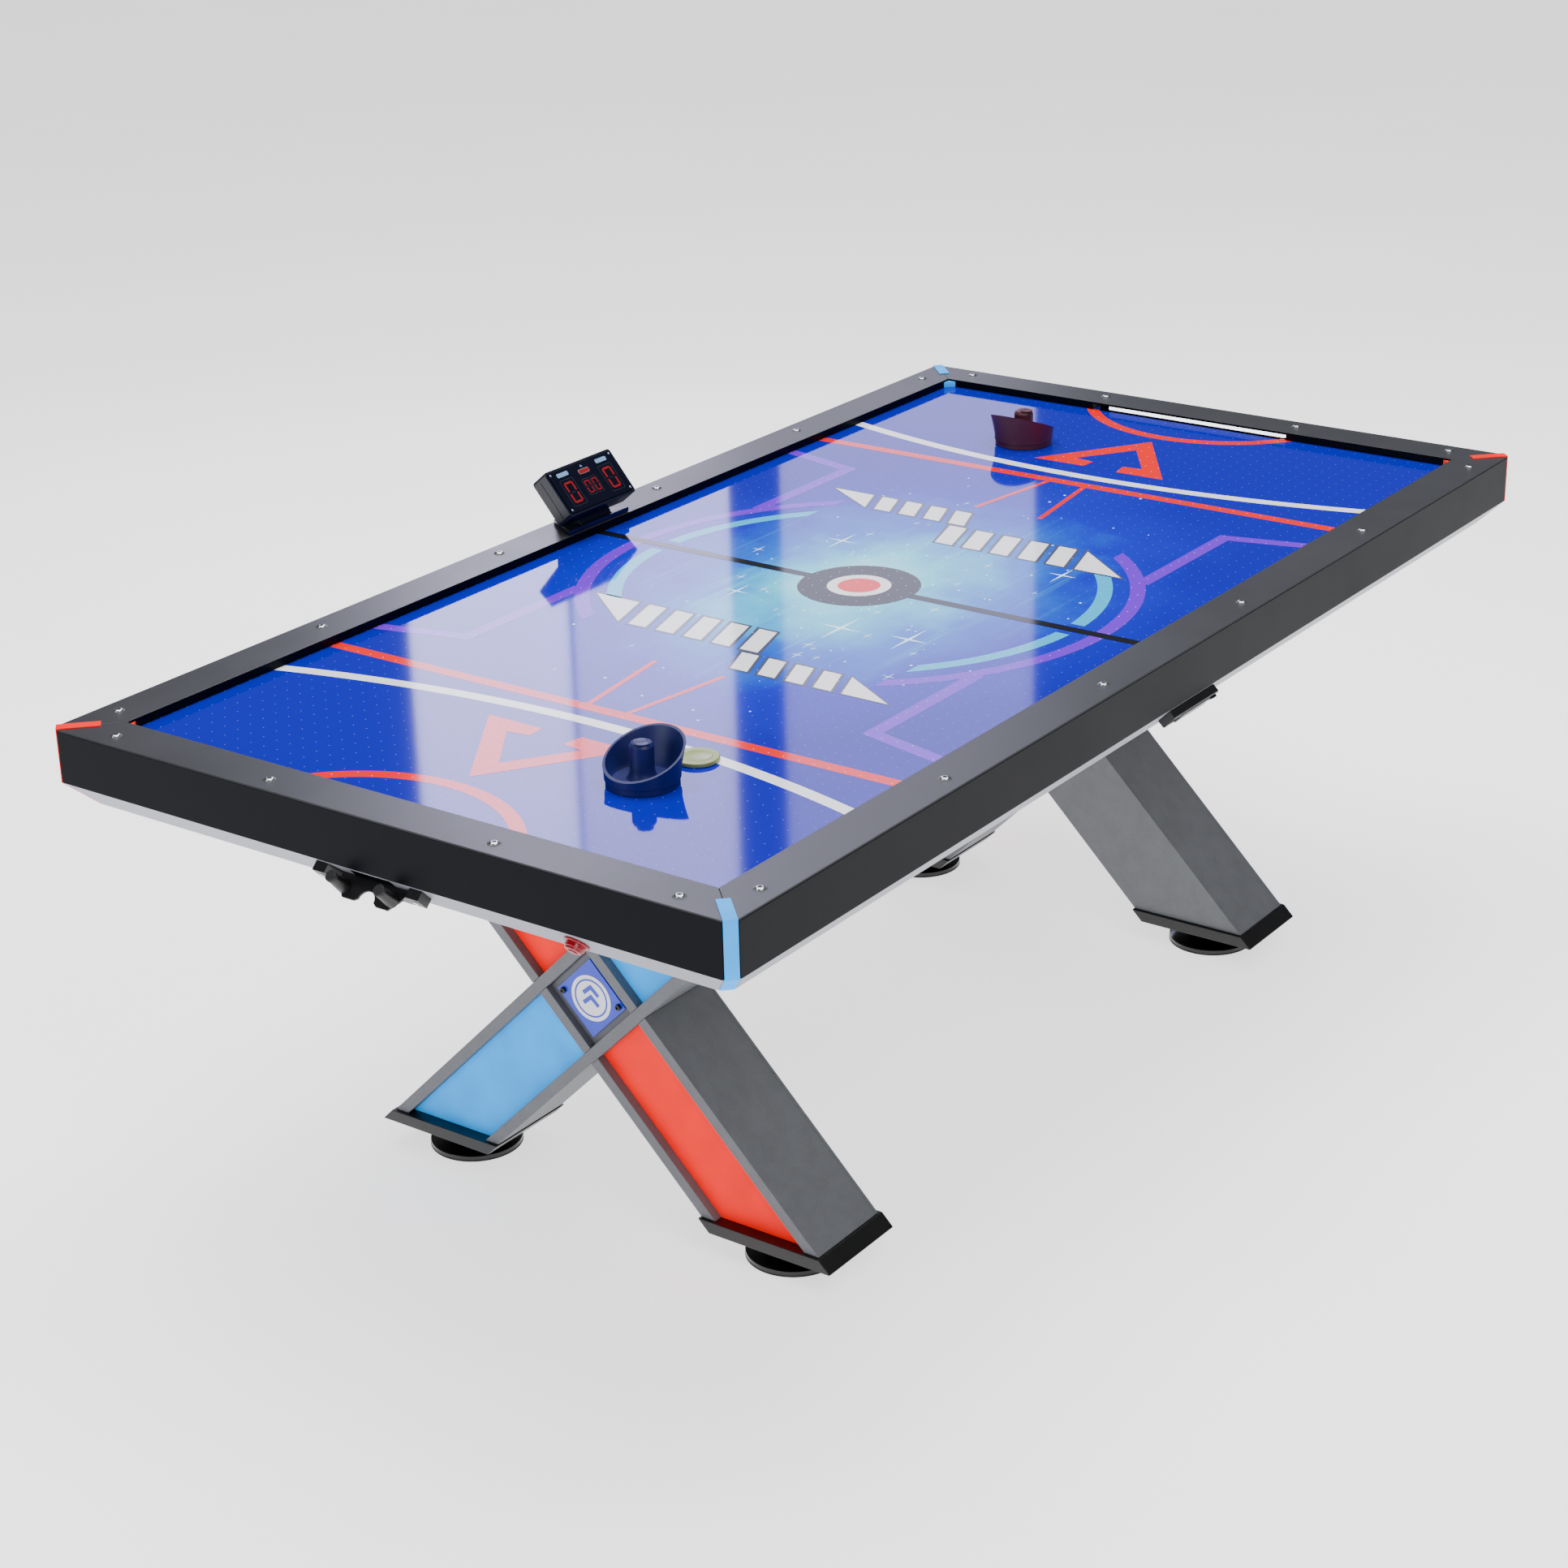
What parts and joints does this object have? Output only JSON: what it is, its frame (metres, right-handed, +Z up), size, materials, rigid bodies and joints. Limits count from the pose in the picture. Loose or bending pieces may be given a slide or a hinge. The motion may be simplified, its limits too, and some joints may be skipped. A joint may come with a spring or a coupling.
{
  "type": "air hockey table",
  "caption": "Full-size air hockey table on two X-shaped legs, with goals, puck trays, scoreboard, blower, mallets and puck.",
  "frame": {"origin": "on the floor under the middle of the table", "axes": "+X along the length from the near goal to the far goal, +Y across towards the scoreboard, +Z up"},
  "size_m": [2.343, 1.2023, 0.9071],
  "materials": {
    "rail_charcoal": "satin charcoal laminate over board",
    "playfield": "glossy printed playing surface",
    "raw_board": "raw board",
    "strip_blue": "satin moulded plastic",
    "strip_red": "satin moulded plastic",
    "foot_plate": "black painted board",
    "foot_black": "black moulded plastic",
    "panel_blue": "satin sheet plastic",
    "panel_red": "satin sheet plastic",
    "emblem": "printed plastic plate",
    "leg_grey": "concrete-grey laminate over board",
    "blower_steel": "black powder coat",
    "button_red": "translucent red plastic",
    "score_shell": "semi-gloss moulded plastic",
    "score_window": "dark tinted window",
    "mallet_navy": "satin moulded plastic",
    "mallet_maroon": "satin moulded plastic",
    "puck": "satin polycarbonate",
    "black_plastic": "satin moulded plastic"
  },
  "bodies": {
    "table": {"blower_housing": "blower_steel", "bottom_board": "raw_board", "control_box": "black_plastic", "corner_strip_far_back": "strip_blue", "corner_strip_far_front": "strip_red", "corner_strip_near_back": "strip_red", "corner_strip_near_front": "strip_blue", "far_foot_plate_left": "foot_plate", "far_foot_plate_right": "foot_plate", "far_leg_back_panel": "leg_grey", "far_leg_blue_panel_lower": "panel_blue", "far_leg_blue_panel_upper": "panel_blue", "far_leg_centre_box": "leg_grey", "far_leg_emblem_plate": "emblem", "far_leg_long_board_left": "leg_grey", "far_leg_long_board_right": "leg_grey", "far_leg_red_panel_lower": "panel_red", "far_leg_red_panel_upper": "panel_red", "far_leg_short_board_lower_left": "leg_grey", "far_leg_short_board_lower_right": "leg_grey", "far_leg_short_board_upper_left": "leg_grey", "far_leg_short_board_upper_right": "leg_grey", "goal_box_far": "black_plastic", "goal_box_near": "black_plastic", "near_foot_plate_left": "foot_plate", "near_foot_plate_right": "foot_plate", "near_leg_back_panel": "leg_grey", "near_leg_blue_panel_lower": "panel_blue", "near_leg_blue_panel_upper": "panel_blue", "near_leg_centre_box": "leg_grey", "near_leg_emblem_plate": "emblem", "near_leg_long_board_left": "leg_grey", "near_leg_long_board_right": "leg_grey", "near_leg_red_panel_lower": "panel_red", "near_leg_red_panel_upper": "panel_red", "near_leg_short_board_lower_left": "leg_grey", "near_leg_short_board_lower_right": "leg_grey", "near_leg_short_board_upper_left": "leg_grey", "near_leg_short_board_upper_right": "leg_grey", "playfield": "playfield", "power_inlet": "black_plastic", "puck_tray_far": "black_plastic", "puck_tray_near": "black_plastic", "rail_back": "rail_charcoal", "rail_far": "rail_charcoal", "rail_front": "rail_charcoal", "rail_near": "rail_charcoal", "scoreboard_face": "score_window", "scoreboard_housing": "score_shell", "start_button_bezel": "button_red"},
    "near_levelling_foot_left": {"near_levelling_foot_left": "foot_black"},
    "near_levelling_foot_right": {"near_levelling_foot_right": "foot_black"},
    "far_levelling_foot_left": {"far_levelling_foot_left": "foot_black"},
    "far_levelling_foot_right": {"far_levelling_foot_right": "foot_black"},
    "start_button": {"start_button": "button_red"},
    "rocker_switch": {"rocker_switch": "black_plastic"},
    "blower_impeller": {"blower_impeller": "black_plastic"},
    "mallet_near": {"mallet_near": "mallet_navy"},
    "mallet_far": {"mallet_far": "mallet_maroon"},
    "puck": {"puck": "puck"}
  },
  "joints": [
    {"name": "near_foot_left_level", "type": "slide", "parent": "table", "child": "near_levelling_foot_left", "axis": [0, 0, -1], "range_m": [0, 0.02]},
    {"name": "near_foot_right_level", "type": "slide", "parent": "table", "child": "near_levelling_foot_right", "axis": [0, 0, -1], "range_m": [0, 0.02]},
    {"name": "far_foot_left_level", "type": "slide", "parent": "table", "child": "far_levelling_foot_left", "axis": [0, 0, -1], "range_m": [0, 0.02]},
    {"name": "far_foot_right_level", "type": "slide", "parent": "table", "child": "far_levelling_foot_right", "axis": [0, 0, -1], "range_m": [0, 0.02]},
    {"name": "start_button_press", "type": "slide", "parent": "table", "child": "start_button", "axis": [0.7203, 0, 0.6937], "range_m": [0, 0.004], "stiffness_N_per_m": 400},
    {"name": "rocker_tilt", "type": "hinge", "parent": "table", "child": "rocker_switch", "pos_m": [0.054, -0.59492, 0.7046], "axis": [-1, 0, 0], "range_deg": [0, 11]},
    {"name": "blower_spin", "type": "hinge", "parent": "table", "child": "blower_impeller", "pos_m": [0, 0, 0.62], "axis": [0, 0, 1], "continuous": true},
    {"name": "mallet_near_glide", "type": "slide", "parent": "table", "child": "mallet_near", "axis": [0, 1, 0], "range_m": [-0.25, 0.67]},
    {"name": "mallet_far_glide", "type": "slide", "parent": "table", "child": "mallet_far", "axis": [0, 1, 0], "range_m": [-0.3, 0.27]},
    {"name": "puck_glide", "type": "slide", "parent": "table", "child": "puck", "axis": [1, 0, 0], "range_m": [0, 1.74]}
  ]
}
